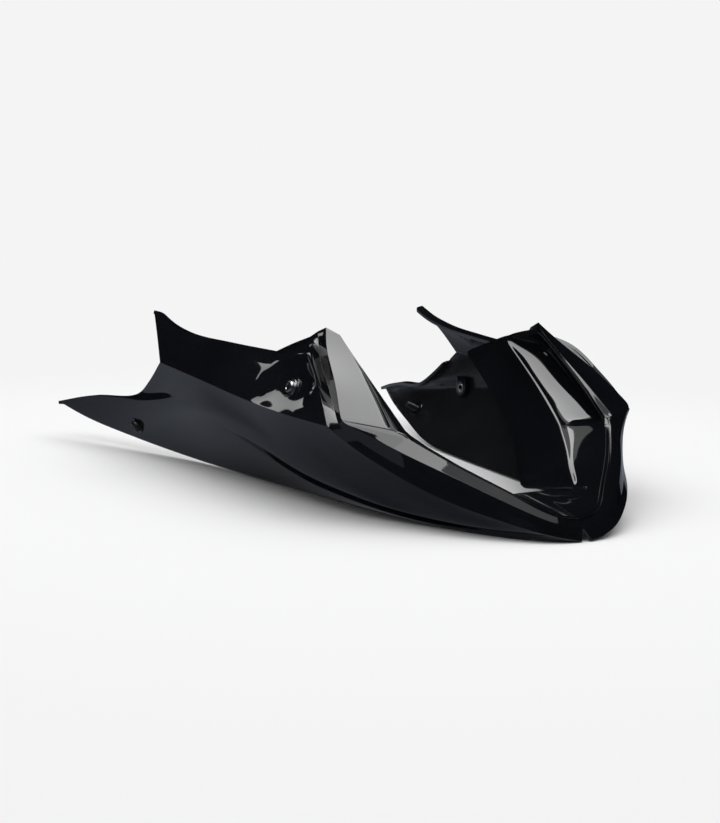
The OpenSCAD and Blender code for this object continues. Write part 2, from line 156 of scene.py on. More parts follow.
# %% The ribs of the lip
lip_high = [
    line((231, 107, 130), (222, 105, 135), (212, 103, 139), (200, 97, 134), (239, 87, 125), (288, 80, 107)),
    line((205, 122, 126), (206, 112, 118), (199, 110, 128), (190, 97, 127.5), (222, 87, 114), (277, 79, 101)),
    line((164, 135, 100), (164, 125, 95), (158, 124, 103), (145, 96.5, 100), (180, 84, 88), (240, 73, 81)),
    line((134, 143, 73), (128, 137, 74.5), (125.5, 136, 77.5), (103, 94, 72), (139, 75, 66), (190, 60, 56))]
lip_low = [
    lip_high[3],
    line((128, 134, 64), (123, 128, 66.5), (119, 128, 73), (99, 92.5, 69.5), (131, 71, 62), (184, 58, 52)),
    line((92, 104, 39), (94, 103, 47), (95, 103, 57.5), (92, 89, 64.5), (108, 60, 50), (163, 50, 36)),
    line((58, 82, 25), (61, 80, 33), (63.5, 79, 43.5), (64, 67, 48), (88, 49, 38.5), (150, 43, 24)),
    line((30, 57, 15), (33, 55, 21.5), (35.5, 53.5, 29), (40, 44.5, 34), (70, 40, 26), (139, 38, 14)),
    line((5, 22, 4.5), (7.5, 20.5, 8.5), (10, 19, 13), (15, 18, 18), (67, 14, 25.5), (139, 14, 14)),
    line((0, 0, 0.5), (3, 0, 4.5), (6, 0, 9.5), (11, 0, 15), (66, 0, 26), (139, 0, 14))]
high_knots = [0, 0.17, 0.55, 1]
low_knots = [0, 0.08, 0.31, 0.51, 0.69, 0.9, 1]
print("ribs of the lip:", len(lip_high) + len(lip_low) - 1)

# %% [markdown]
# The skin will be a grid. Columns run from the tail to the edge of the lip and on over it, and rows run
# from the top edge down over the shoulder to the lower edge.

# %% Numbering of the grid
side_columns, band_rows, flank_rows, bridge_rows, belly_rows = 36, 8, 12, 4, 8
valley_share = 0.66
c_edge = 1 + side_columns
c_valley = 1 + round(side_columns * valley_share)
c_channel, c_ridge, c_face, c_trough, c_inner = (c_edge + n for n in (1, 2, 4, 5, 6))
c_fold, c_last = c_edge + 11, c_edge + 14
r_corner = 1 + band_rows
r_bridge = r_corner + flank_rows
r_slash = r_bridge + bridge_rows
r_last = r_slash + belly_rows
bridge_share, slash_share = 0.69, 0.9
slash_wall, slash_width = 0.016, 0.075
slash_start, slash_opening, slash_end, slash_closing = 0.42, 0.2, 0.9, 0.14

def slash_reach(c):
    """How open the slash is at a column: 1 in its middle, 0 past its ends."""
    u = (c - 1) / side_columns
    return smooth((u - slash_start) / slash_opening) * smooth((slash_end - u) / slash_closing)

def across(c, r):
    """How far down the flank a row lies, from the shoulder at 0 to the lower edge at 1."""
    if r <= r_slash:
        return 0.5 * (r - r_corner) / (r_slash - r_corner)
    deepest, lower_edge = 0.5 + slash_wall, 0.5 + 2 * slash_wall + slash_width * slash_reach(c)
    below = r - r_slash
    if below < 2:
        return mix(0.5, deepest, below) if below < 1 else mix(deepest, lower_edge, below - 1)
    return mix(lower_edge, 1, (below - 2) / (belly_rows - 2))

def share(r):
    """How far along the low lip a row ends, from the corner at 0 to the middle at 1."""
    if r <= r_bridge:
        return bridge_share * (r - r_corner) / flank_rows
    if r <= r_slash:
        return mix(bridge_share, slash_share, (r - r_bridge) / bridge_rows)
    return mix(slash_share, 1, 2 * across(c_edge, r) - 1)

print("grid:", c_last, "by", r_last)

# %% [markdown]
# Now the three stretches of the side skin. Each is a plain loft between its lines, and a correction that
# fades with distance makes its ends land on the rear edge and on the edge of the lip.

# %% The side skin
def lip_line(n, r):
    """Where key line n of the lip crosses a row."""
    if r <= r_corner:
        return through([rib[n] for rib in lip_high], high_knots, (r - 1) / band_rows)
    return through([rib[n] for rib in lip_low], low_knots, share(r))

def top_at(c):
    if c <= c_valley:
        return along(ear_edge, (c - 1) / (c_valley - 1))
    return along(peak_edge, (c - c_valley) / (c_edge - c_valley))

def band(c, r):
    """The upper band, from the top edge to the shoulder."""
    u, v = (c - 1) / side_columns, (r - 1) / band_rows
    rear_gap = along(ear_back, v) - mix(ear_back[0], ear_back[-1], v)
    front_gap = lip_line(0, r) - mix(top_at(c_edge), shoulder[-1], v)
    return mix(top_at(c), along(shoulder, u), v) + (1 - u) ** 2 * rear_gap + u ** 2 * front_gap

def skin(c, r):
    """The flank and the belly, below the shoulder."""
    u, v = (c - 1) / side_columns, across(c, r)
    halves = [0, 0.5, 1]
    lines = [along(shoulder, u), along(flank + [lip_line(0, r_slash)], u), along(belly, u)]
    rears = [tail_edge[0], tail_edge[3], tail_edge[4]]
    fronts = [lip_line(0, r_corner), lip_line(0, r_slash), lip_line(0, r_last)]
    rear_gap = through(tail_edge, tail_knots, v) - through(rears, halves, v)
    front_gap = lip_line(0, r) - through(fronts, halves, v)
    return through(lines, halves, v) + (1 - u) ** 6 * rear_gap + u ** 3 * front_gap

print("middle of the band:", [round(v, 1) for v in band(c_edge // 2, r_corner // 2)])

# %% [markdown]
# Two shapes are pressed into the side: a shallow dish that lets the front screw sit back from the skin,
# and the slash, a leaf-shaped groove. The slash lies between two rows of the grid, so that its edges can
# be kept crisp: a steep wall drops from the upper row, and the floor climbs back to the lower one.

# %% The pressed shapes
dish_spot, dish_reach, dish_depth = Vector((205, 141, 95)), (36, 18), 6
slash_depth, rim_width, trough_depth, pocket_depth = 8.5, 9, 3.5, 12

def dish(p):
    wide, high = (p.x - dish_spot.x) / dish_reach[0], (p.z - dish_spot.z) / dish_reach[1]
    away = (wide ** 4 + high ** 4) ** 0.25
    return Vector((0, -dish_depth * smooth((1.15 - away) / 0.5), 0))

def slash(c, r):
    pressed = slash_depth * slash_reach(c) if r == r_slash + 1 else 0
    return pressed * Vector((0, -0.96, 0.28))

print("deepest point of the dish:", dish(dish_spot)[1], "mm")

# %% [markdown]
# The lip turns the skin round: over the channel and the rounded ridge, down a face with a trough beside
# the inner edge, back into the pocket of the scoop, and over the fold to the plate. It is the same sheet
# of plastic all the way, so it is the same grid, with the columns past the edge placed between the ribs.

# %% The lip, the scoop and the plate
wedge_start, wedge_below, pocket_below = 0.3, 0.35, 0.3

def wedge(r):
    """The trough beside the inner edge widens down to the corner, and ends there in a step."""
    if r <= r_corner:
        return min(max(((r - 1) / band_rows - wedge_start) / (1 - wedge_start), 0), 1)
    return wedge_below

def pocket(r):
    """Depth of the scoop: boxed in down to the corner, with a step there, then fading to the bridge."""
    if r <= r_corner:
        return pocket_depth * smooth((r - 1) / 1.5)
    return pocket_below * pocket_depth * smooth((r_bridge + 1 - r) / (r_bridge - r_corner))

def lip(c, r):
    ridge, inner, fold, rear = (lip_line(n, r) for n in (2, 3, 4, 5))
    line_at = mix(0.95, 0.74, wedge(r))
    floor_at = mix(line_at, 1, 0.6)
    trough = trough_depth * wedge(r) * Vector((0.75, 0.1, -0.65))
    sink = pocket(r) * (Vector((0, 1, 0)) if r <= r_corner else Vector((0.2, 1, -0.6)).normalized())
    places = {c_channel: lip_line(1, r), c_ridge: ridge, c_ridge + 1: mix(ridge, inner, line_at / 2),
              c_face: mix(ridge, inner, line_at), c_trough: mix(ridge, inner, floor_at) + trough,
              c_inner: inner, c_inner + 1: mix(inner, fold, 0.12),
              c_inner + 2: mix(inner, fold, 0.3) + 0.9 * sink,
              c_inner + 3: mix(inner, fold, 0.68) + sink, c_inner + 4: mix(inner, fold, 0.9) + 0.7 * sink}
    return places.get(c) or mix(fold, rear, (c - c_fold) / (c_last - c_fold))

def sheet(c, r):
    """The outer face at a column and a row. Column 0 and row 0 are the rims that fold inwards."""
    if c > c_edge:
        return lip(c, max(r, 1))
    if c == 0:
        return sheet(1, max(r, 1)) + rim_width * Vector((0.12, -0.98, -0.12))
    if r == 0:
        return sheet(c, 1) + rim_width * Vector((0, -0.97, -0.2)) * smooth((c_valley + 2 - c) / 6)
    if c == c_edge:
        return lip_line(0, r)
    if r <= r_corner:
        p = band(c, r)
        return p + dish(p) * smooth((c_edge - c) / 2) * smooth((r_corner - r) / 1.5)
    return skin(c, r) + slash(c, r)

print("top of the ridge:", [round(v, 1) for v in sheet(c_ridge, 1)])

# %% [markdown]
# The grid is made by one operator, and each of its corners is then carried to its place on the sheet.
# Cells that the real moulding doesn't have are deleted. The edges that a real mould leaves crisp are
# bevelled by a millimetre or two, so that they catch a thin line of light, and finer ones are creased.

# %% The half sheet as a grid
front_seat = Vector((202.97, 136.47, 93.01))
chin_x = sum(corner[0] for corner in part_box("front_washer_l")) / 2 / MM + front_seat.x
edge_round, fold_round, crease_hardness = 1.4, 2.4, 0.85

def to_frame(p):
    """From distance behind the chin, half width and height to the row frame, in metres."""
    return Vector((chin_x - p.x, p.y, p.z)) * MM

def keep_cell(c, r):
    if r < 1 and not 1 <= c < c_valley:
        return False
    if c < 1 and r < r_corner + 2:
        return False
    return not (c >= c_fold and r >= r_bridge)

def crisp(c0, r0, c1, r1):
    """Whether the grid edge between two corners lies on a crisp line of the moulding."""
    if c0 == c1 and min(r0, r1) >= 1:
        tail_rim = c0 == 1 and min(r0, r1) >= r_corner + 2
        return tail_rim or c0 in (c_edge, c_channel, c_ridge, c_inner, c_fold)
    if r0 == r1 and max(c0, c1) <= c_edge:
        return (r0 == r_corner and min(c0, c1) >= 1) or (r0 == 1 and 1 <= min(c0, c1) < c_valley)
    return r0 == r1 == r_bridge and min(c0, c1) >= c_fold

def creased(c0, r0, c1, r1):
    """Whether that grid edge is a finer line, kept sharp by a crease: the slash, the wedge, the step."""
    if r0 == r1 and max(c0, c1) <= c_edge:
        return r_slash <= r0 <= r_slash + 2 and slash_reach(min(c0, c1)) > 0.02
    if r0 == r1:
        return r0 in (r_corner, r_corner + 1) and c_face <= min(c0, c1) and max(c0, c1) < c_fold
    return c0 == c1 and c0 in (c_face, c_trough)

def half_sheet():
    bm = bmesh.new()
    crease = bm.edges.layers.float.new("crease_edge")
    rounded = bm.edges.layers.float.new("rounded")
    bmesh.ops.create_grid(bm, x_segments=c_last, y_segments=r_last, size=1)
    number = {v: (round((v.co.x + 1) / 2 * c_last), round((v.co.y + 1) / 2 * r_last)) for v in bm.verts}
    lost = [f for f in bm.faces if not keep_cell(min(number[v][0] for v in f.verts),
                                                 min(number[v][1] for v in f.verts))]
    bmesh.ops.delete(bm, geom=lost, context="FACES")
    for e in bm.edges:
        start, end = (number[v] for v in e.verts)
        if not e.is_boundary and crisp(*start, *end):
            e[rounded] = fold_round if start[0] == end[0] == c_fold else edge_round
        if creased(*start, *end):
            e[crease] = crease_hardness
    for v in bm.verts:
        c, r = number[v]
        place = sheet(c, r)
        if r == r_last and c >= c_edge:
            place.y = 0
        v.co = to_frame(place)
    for width in (fold_round, edge_round):
        lines = [e for e in bm.edges if not e.is_boundary and abs(e[rounded] - width) < 0.01]
        bmesh.ops.bevel(bm, geom=lines, offset=width * MM, offset_type="OFFSET", segments=2, profile=0.5,
                        affect="EDGES", clamp_overlap=True, material=-1)
        for e in bm.edges:
            e[rounded] = 0 if abs(e[rounded] - width) < 0.01 else e[rounded]
    return bm

bm = half_sheet()
print("faces in the half sheet:", len(bm.faces))

# %% [markdown]
# The half is mirrored over the middle plane and welded there. Mirroring can leave faces pointing both
# ways, so the normals are made consistent, and the whole sheet is turned round if its flank points in.

# %% The whole sheet
def whole_sheet(bm):
    bmesh.ops.mirror(bm, geom=bm.verts[:] + bm.edges[:] + bm.faces[:], axis="Y", merge_dist=0.02 * MM)
    bmesh.ops.recalc_face_normals(bm, faces=bm.faces)
    outermost = max(bm.faces, key=lambda f: f.calc_center_median().y)
    if outermost.normal.y < 0:
        bmesh.ops.reverse_faces(bm, faces=bm.faces)
    return bm

bm = whole_sheet(bm)
print("faces in the sheet:", len(bm.faces), "open edges:", sum(e.is_boundary for e in bm.edges))

# %% [markdown]
# Modifiers finish the shell: subdivision smooths the grid so that reflections run without kinks, and
# Solidify gives the wall its thickness, inwards only, with its own material on the hidden side. A small
# bevel takes the sharpness off the rims. The result is made into a plain mesh for the next step.

# %% The wall
wall, rim_round = 3.0, 0.9
smooth_levels = 2
inside_slot = 1

def object_from(bm, name):
    """A new object, at the origin and unturned, with its place in its mesh."""
    mesh = bpy.data.meshes.new(name)
    bm.normal_update()
    bm.to_mesh(mesh)
    bm.free()
    return new_object(name, mesh)

def settle(obj):
    """Turns what the modifiers give into the object's own mesh."""
    view = bpy.context.evaluated_depsgraph_get()
    mesh = bpy.data.meshes.new_from_object(obj.evaluated_get(view), depsgraph=view)
    obj.modifiers.clear()
    obj.data = mesh

def crease_shading(obj, degrees):
    """Smooth shading, apart from edges that turn more than that."""
    obj.data.shade_smooth()
    obj.data.set_sharp_from_angle(angle=radians(degrees))

shell = object_from(bm, "pan_shell_moulding")
for name in ("gloss_black", "inner_face"):
    shell.data.materials.append(bpy.data.materials.new(name))
rounding = shell.modifiers.new("rounding", "SUBSURF")
rounding.levels = rounding.render_levels = smooth_levels
thickness = shell.modifiers.new("wall", "SOLIDIFY")
thickness.thickness, thickness.offset = wall * MM, -1
thickness.use_even_offset, thickness.use_quality_normals = True, True
thickness.material_offset = inside_slot
rim = shell.modifiers.new("rim", "BEVEL")
rim.width, rim.segments = rim_round * MM, 2
rim.limit_method, rim.angle_limit = "ANGLE", radians(60)
settle(shell)
print("faces in the wall:", len(shell.data.polygons))

# %% [markdown]
# Every fixing stands on a seat that leans with the skin. A seat's matrix puts +Z outwards along the
# fixing's axis, so that each screw, washer and boss can be modelled standing up at the origin and then
# carried to its place. Both sides use the same numbers.

# %% Places of the fixings
front_lean = 20
rear_seat, rear_lean = Vector((478.13, 154.39, 25)), -26
boss_seat = Vector((396.96, 148.56, 58.02))
sides = {"l": 1, "r": -1}

def seat(place, side, lean, inward=False):
    """A matrix from a fixing's own axes, in mm, to the row frame, in metres."""
    spot = to_frame(Vector((place.x, side * place.y, place.z)))
    toward = -side if inward else side
    outward = Vector((0, toward * cos(radians(lean)), sin(radians(lean))))
    forward = Vector((1, 0, 0))
    upward = outward.cross(forward)
    if upward.z < 0:
        forward, upward = -forward, -upward
    axes = Matrix((forward, upward, outward)).transposed().to_4x4()
    return Matrix.Translation(spot) @ axes @ Matrix.Scale(MM, 4)

def at_front(side):
    return seat(front_seat, side, front_lean)

def at_rear(side):
    return seat(rear_seat, side, rear_lean)

def at_boss(side):
    return seat(boss_seat, side, 0, inward=True)

print("front seats:", [[round(v / MM, 1) for v in at_front(s).translation] for s in sides.values()])

# %% [markdown]
# Turned parts are made the way a lathe makes them: half a section, spun once round its axis and welded
# where it closes. The section is a list of (radius, height) points. A point on the axis becomes a pole
# and is welded too.

# %% A lathe
def lathe(bm, section, steps=64, matrix=Matrix.Identity(4), closed=True):
    """Spins a section of (radius, height) points round +Z."""
    ring = [bm.verts.new((radius, 0, height)) for radius, height in section]
    pairs = list(zip(ring, ring[1:])) + ([(ring[-1], ring[0])] if closed else [])
    edges = [bm.edges.new(pair) for pair in pairs]
    known = set(bm.verts) - set(ring)
    bmesh.ops.spin(bm, geom=ring + edges, cent=(0, 0, 0), axis=(0, 0, 1), angle=tau, steps=steps,
                   use_merge=True)
    made = [v for v in bm.verts if v not in known]
    bmesh.ops.remove_doubles(bm, verts=made, dist=0.01)
    made = [v for v in bm.verts if v not in known]
    faces = list({f for v in made for f in v.link_faces})
    bmesh.ops.recalc_face_normals(bm, faces=faces)
    bmesh.ops.transform(bm, matrix=matrix, verts=made)

def arc(centre, radius, start, end, steps=5):
    """Points (radius, height) on a circle in the section, from one angle to another, in degrees."""
    turns = [radians(mix(start, end, n / steps)) for n in range(steps + 1)]
    return [(centre[0] + radius * cos(a), centre[1] + radius * sin(a)) for a in turns]

print("points on a quarter arc:", len(arc((0, 0), 1, 0, 90)))

# %% [markdown]
# Behind each screw the mould leaves a boss, a round pad that gives the screw a flat seat. The threaded
# insert has a D shaped pad on the inner face, with a flat top. The pads are fused to the wall with a
# Boolean, a second Boolean cuts the seats and the holes, and a third cuts the notch under the chin. The
# wall folds so tightly there that it touches itself, so the solver is asked to be tolerant each time.

# %% Bosses and holes
washer_d, head_d_rear, bush_flange_d, bush_d, screw_d = 14, 11.5, 15, 10, 6
front_boss, rear_boss, pad_depth = wall + 4, wall + 2, 6.9
screw_hole = screw_d / 2 + 0.25
insert_radius, insert_length = 4.5, 6.5
insert_hole = insert_radius + 0.05
pad_width, pad_top, pad_round = 16, 11, 0.7

def pad_profile(angle):
    """A D: round below its middle and square above it."""
    x, y, tiny = cos(angle), sin(angle), 1e-6
    reach = pad_width / 2
    if y > 0:
        reach = min(reach / max(abs(x), tiny), pad_top / max(y, tiny))
    return Vector((x * reach, y * reach, 0))

def d_pad(bm, matrix):
    made = bmesh.ops.create_circle(bm, cap_ends=True, radius=1, segments=48)["verts"]
    for v in made:
        v.co = pad_profile(atan2(v.co.y, v.co.x))
    face = made[0].link_faces[0]
    top = bmesh.ops.extrude_face_region(bm, geom=[face])["geom"]
    risen = [v for v in top if isinstance(v, bmesh.types.BMVert)]
    bmesh.ops.translate(bm, verts=made, vec=(0, 0, -pad_depth))
    rim_edges = {e for v in risen for e in v.link_edges if e.other_vert(v) in risen}
    rounded = bmesh.ops.bevel(bm, geom=list(rim_edges), offset=pad_round, segments=2, profile=0.5,
                              affect="EDGES", material=-1)["verts"]
    everything = [v for v in {*made, *risen, *rounded} if v.is_valid]
    bmesh.ops.transform(bm, matrix=matrix, verts=everything)

def fuse(obj, tool, operation, tolerant=False):
    joint = obj.modifiers.new(operation.lower(), "BOOLEAN")
    joint.operation, joint.object, joint.solver = operation, tool, "EXACT"
    joint.use_hole_tolerant = tolerant
    settle(obj)
    bpy.data.objects.remove(tool)

def boss_section(radius, depth, edge=0.6):
    return [(0, -depth), (radius - edge, -depth), (radius, -depth + edge), (radius, -edge / 2),
            (radius - edge / 2, 0), (0, 0)]

def seat_cutter(seat_radius, above, hole_radius, below):
    """Clears the seat above the pad and bores the hole below it."""
    return [(0, above), (seat_radius, above), (seat_radius, 0), (hole_radius, 0), (hole_radius, -below),
            (0, -below)]

pads, cuts = bmesh.new(), bmesh.new()
insert_cutter = [(0, 6), (insert_hole, 6), (insert_hole, -insert_length), (0, -insert_length)]
for side in sides.values():
    for bm, matrix, section in (
            (pads, at_front(side), boss_section(bush_flange_d / 2 + 1.5, front_boss)),
            (pads, at_rear(side), boss_section(head_d_rear / 2 + 2, rear_boss)),
            (cuts, at_front(side), seat_cutter(washer_d / 2 + 1.5, 14, bush_d / 2 + 0.1, 20)),
            (cuts, at_rear(side), seat_cutter(head_d_rear / 2 + 1, 10, screw_hole, 16)),
            (cuts, at_boss(side), insert_cutter)):
        lathe(bm, section, matrix=matrix, closed=False)
    d_pad(pads, at_boss(side))

notch_half, notch_height = 5, 9
notch = [(-notch_half - 2, -2), (notch_half + 2, -2), (notch_half, 0), (0.6, notch_height),
         (-0.6, notch_height), (-notch_half, 0)]

def notch_tool(back, front):
    """A closed prism along X under the chin, from one reach behind it to another before it."""
    bm = bmesh.new()
    ends = [[bm.verts.new(Vector((chin_x + reach, y, z)) * MM) for y, z in notch] for reach in (-back, front)]
    walls = [(ends[0][n - 1], ends[0][n], ends[1][n], ends[1][n - 1]) for n in range(len(notch))]
    for loop in ends + walls:
        bm.faces.new(loop)
    bmesh.ops.recalc_face_normals(bm, faces=bm.faces)
    return bm

fuse(shell, object_from(pads, "pads"), "UNION", tolerant=True)
fuse(shell, object_from(cuts, "cuts"), "DIFFERENCE", tolerant=True)
fuse(shell, object_from(notch_tool(50, 10), "notch"), "DIFFERENCE", tolerant=True)
print("faces before thinning:", len(shell.data.polygons))

# %% [markdown]
# The hidden side of the wall is nearly matt, so it needs fewer faces than the gloss. A vertex group marks
# its corners, and Decimate thins only there, so that the outer face keeps every one of its own.

# %% Thinning the hidden side
kept_share = 0.6

def thin_hidden(obj):
    corners = [set(), set()]
    for face in obj.data.polygons:
        corners[face.material_index == inside_slot].update(face.vertices)
    hidden = obj.vertex_groups.new(name="hidden")
    hidden.add(list(corners[1] - corners[0]), 1.0, "REPLACE")
    thinning = obj.modifiers.new("thinning", "DECIMATE")
    thinning.ratio, thinning.vertex_group = kept_share, hidden.name
    settle(obj)
    obj.vertex_groups.clear()

thin_hidden(shell)
crease_shading(shell, 35)
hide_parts("pan_shell")
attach(shell, "root")
print("faces in the shell:", len(shell.data.polygons))

# %% [markdown]
# A button head has a low dome with a hexagon socket. The dome is turned, and the socket is cut by a
# six-sided tool with a small cone at its mouth, which is the chamfer a real key slides into.

# %% A button head
front_head = {"diameter": 10.5, "height": 3.3}
rear_head = {"diameter": 11.5, "height": 4.0}
socket_flats, socket_depth = 4, 2
crown_start, skirt = 0.62, 0.3

def dome_section(diameter, height):
    half, flat, low = diameter / 2, diameter / 2 * crown_start, height * skirt
    turns = [radians(a) for a in range(10, 90, 10)]
    crown = [(flat + (half - flat) * cos(a), low + (height - low) * sin(a)) for a in turns]
    return [(0, 0), (half - 0.2, 0), (half, 0.2), (half, low)] + crown + [(flat, height), (0, height)]

def button_head(head, matrix):
    """A dome with a hexagon socket, its underside at the origin."""
    bm, tool = bmesh.new(), bmesh.new()
    top = head["height"]
    lathe(bm, dome_section(head["diameter"], top), matrix=matrix, closed=False)
    radius = socket_flats / 2 / cos(radians(30))
    made = bmesh.ops.create_cone(tool, cap_ends=True, segments=6, radius1=radius, radius2=radius,
                                 depth=2 * socket_depth)["verts"]
    bmesh.ops.transform(tool, matrix=matrix @ Matrix.Translation((0, 0, top)), verts=made)
    mouth = [(0, top + 0.5), (radius + 0.75, top + 0.5), (radius - 0.25, top - 0.5), (0, top - 0.5)]
    lathe(tool, mouth, steps=48, matrix=matrix, closed=False)
    obj = object_from(bm, "head")
    fuse(obj, object_from(tool, "socket"), "DIFFERENCE")
    bm = bmesh.new()
    bm.from_mesh(obj.data)
    bpy.data.objects.remove(obj)
    return bm

bm = button_head(front_head, Matrix.Identity(4))
print("faces in a button head:", len(bm.faces))
bm.free()

# %% [markdown]
# A thread is one tooth carried round a helix. Spin does this when it is also given a step along the
# axis. The ribbon is welded from turn to turn, cut flat at both ends and closed, and its last turns are
# drawn in, because a screw's point is chamfered so that it starts easily.

# %% A threaded shank
pitch, thread_depth, turn_steps = 1.0, 0.55, 24
point_length, point_slope = 1.3, 0.75

def threaded_shank(bm, length, matrix):
    """A threaded rod that hangs from the origin along -Z."""
    root, crest = screw_d / 2 - thread_depth, screw_d / 2
    tooth = [(root, 0), (crest, 0.38), (crest, 0.5), (root, 0.88), (root, 1.0)]
    rod = bmesh.new()
    ring = [rod.verts.new((radius, 0, height * pitch)) for radius, height in tooth]
    edges = [rod.edges.new(pair) for pair in zip(ring, ring[1:])]
    turns = round(length / pitch) + 3
    bmesh.ops.spin(rod, geom=ring + edges, cent=(0, 0, 0), axis=(0, 0, 1), angle=tau * turns,
                   steps=turn_steps * turns, dvec=(0, 0, pitch / turn_steps))
    bmesh.ops.remove_doubles(rod, verts=rod.verts, dist=0.01)
    bmesh.ops.translate(rod, verts=rod.verts, vec=(0, 0, -length - 2 * pitch))
    for height, normal in ((0.0, (0, 0, 1)), (-length, (0, 0, -1))):
        whole = rod.verts[:] + rod.edges[:] + rod.faces[:]
        cut = bmesh.ops.bisect_plane(rod, geom=whole, dist=1e-4, plane_co=(0, 0, height),
                                     plane_no=normal, clear_outer=True)["geom_cut"]
        rim = [e for e in cut if isinstance(e, bmesh.types.BMEdge)]
        bmesh.ops.contextual_create(rod, geom=rim)
    for v in rod.verts:
        reach = hypot(v.co.x, v.co.y)
        limit = crest - max(0.0, point_length - (v.co.z + length)) * point_slope
        if reach > limit:
            v.co.x, v.co.y = v.co.x * limit / reach, v.co.y * limit / reach
    bmesh.ops.recalc_face_normals(rod, faces=rod.faces)
    bmesh.ops.transform(rod, matrix=matrix, verts=rod.verts)
    mesh = bpy.data.meshes.new("rod")
    rod.to_mesh(mesh)
    rod.free()
    bm.from_mesh(mesh)
    bpy.data.meshes.remove(mesh)

bm = bmesh.new()
threaded_shank(bm, 10, Matrix.Identity(4))
print("faces in a 10 mm thread:", len(bm.faces))
bm.free()

# %% [markdown]
# The finishes come before the pieces that wear them. Effects are node groups that finishes share: a slow
# ripple with faint wiping marks for moulded gloss, fine grain, settled dust and worn edges. Each group
# is given the coordinates and its own amounts, and puts out only values that change over the surface.

# %% Node helpers
def add(tree, kind, **settings):
    """A node, with its settings, and its inputs by name or number under the key inputs."""
    inputs = settings.pop("inputs", {})
    node = tree.nodes.new(kind)
    for key, value in settings.items():
        setattr(node, key, value)
    for key, value in inputs.items():
        if isinstance(value, bpy.types.NodeSocket):
            tree.links.new(value, node.inputs[key])
        else:
            node.inputs[key].default_value = value
    return node

def calc(tree, operation, a, b):
    return add(tree, "ShaderNodeMath", operation=operation, inputs={0: a, 1: b}).outputs[0]

def product(tree, first, *others):
    for value in others:
        first = calc(tree, "MULTIPLY", first, value)
    return first

def distance(tree, place, centre=(0, 0, 0), weights=(1, 1, 1)):
    """How far a place is from a centre, with each axis counted by its weight."""
    for operation, value in (("SUBTRACT", centre), ("MULTIPLY", weights)):
        node = add(tree, "ShaderNodeVectorMath", operation=operation, inputs={0: place, 1: value})
        place = node.outputs["Vector"]
    return add(tree, "ShaderNodeVectorMath", operation="LENGTH", inputs={0: place}).outputs["Value"]

def blend_colour(tree, share_of_b, a, b):
    return add(tree, "ShaderNodeMix", data_type="RGBA", inputs={0: share_of_b, 6: a, 7: b}).outputs[2]

def noise(tree, where, size_mm, detail=2.0, roughness=0.5):
    """Noise whose blobs are about size_mm across, because Object coordinates are in metres."""
    return add(tree, "ShaderNodeTexNoise", inputs={"Vector": where, "Scale": 1 / (size_mm * MM),
               "Detail": detail, "Roughness": roughness}).outputs["Fac"]

def span_of(tree, value, low, high, new_low=0.0, new_high=1.0):
    return add(tree, "ShaderNodeMapRange", clamp=True, inputs={0: value, 1: low, 2: high, 3: new_low,
               4: new_high}).outputs[0]

def new_group(name, **amounts):
    """An empty shader group: (its tree, what it is given, by name)."""
    tree = bpy.data.node_groups.new(name, "ShaderNodeTree")
    tree.interface.new_socket("Place", in_out="INPUT", socket_type="NodeSocketVector")
    for label, amount in amounts.items():
        socket = tree.interface.new_socket(label, in_out="INPUT", socket_type="NodeSocketFloat")
        socket.default_value = amount
    return tree, add(tree, "NodeGroupInput").outputs

def finished(tree, **outputs):
    """A group that puts these out."""
    for label in outputs:
        tree.interface.new_socket(label, in_out="OUTPUT", socket_type="NodeSocketFloat")
    add(tree, "NodeGroupOutput", inputs=outputs)
    return tree

print("node helpers are ready")

# %% [markdown]
# Moulded gloss is never a perfect mirror. It has a very slow ripple from the mould, a finer orange peel,
# and marks where a cloth wiped it. All three are slight, so that the reflections stay clean.

# %% Moulded gloss, grain and dust
def make_gloss_group():
    tree, given = new_group("moulded_gloss", Roughness=0.05, Smear=0.04)
    stretched = add(tree, "ShaderNodeMapping", inputs={"Vector": given["Place"], "Scale": (0.25, 1.0, 1.0),
                    "Rotation": (0.0, 0.3, 0.2)}).outputs[0]
    wiped = span_of(tree, noise(tree, stretched, 14, 4, 0.6), 0.5, 0.75)
    haze = span_of(tree, noise(tree, given["Place"], 90, 2), 0.4, 0.7)
    smear = product(tree, wiped, haze, given["Smear"])
    slow = noise(tree, given["Place"], 45, 1)
    peel = product(tree, noise(tree, given["Place"], 3.2, 1), 0.035)
    roughness = calc(tree, "ADD", given["Roughness"], smear)
    return finished(tree, Roughness=roughness, Height=calc(tree, "ADD", slow, peel))

def make_grain_group():
    tree, given = new_group("fine_grain", Size=0.5)
    where = {"Vector": given["Place"], "Scale": calc(tree, "DIVIDE", 1000.0, given["Size"])}
    cells = add(tree, "ShaderNodeTexVoronoi", inputs=where).outputs["Distance"]
    cloud = add(tree, "ShaderNodeTexNoise", inputs={**where, "Detail": 3.0}).outputs["Fac"]
    return finished(tree, Height=product(tree, cells, cloud), Mask=span_of(tree, cloud, 0.35, 0.65))

def make_dust_group():
    tree, given = new_group("settled_dust", Amount=0.3)
    normal = add(tree, "ShaderNodeNewGeometry").outputs["Normal"]
    upward = span_of(tree, add(tree, "ShaderNodeSeparateXYZ", inputs={0: normal}).outputs["Z"], 0.1, 0.9)
    specks = span_of(tree, noise(tree, given["Place"], 0.9, 1), 0.72, 0.8)
    patches = span_of(tree, noise(tree, given["Place"], 60, 3), 0.45, 0.65)
    return finished(tree, Mask=product(tree, upward, specks, patches, given["Amount"]))

def make_edge_group():
    tree, given = new_group("worn_edge", Amount=0.5)
    point = span_of(tree, add(tree, "ShaderNodeNewGeometry").outputs["Pointiness"], 0.53, 0.62)
    broken = span_of(tree, noise(tree, given["Place"], 1.5, 3), 0.35, 0.6)
    return finished(tree, Mask=product(tree, point, broken, given["Amount"]))

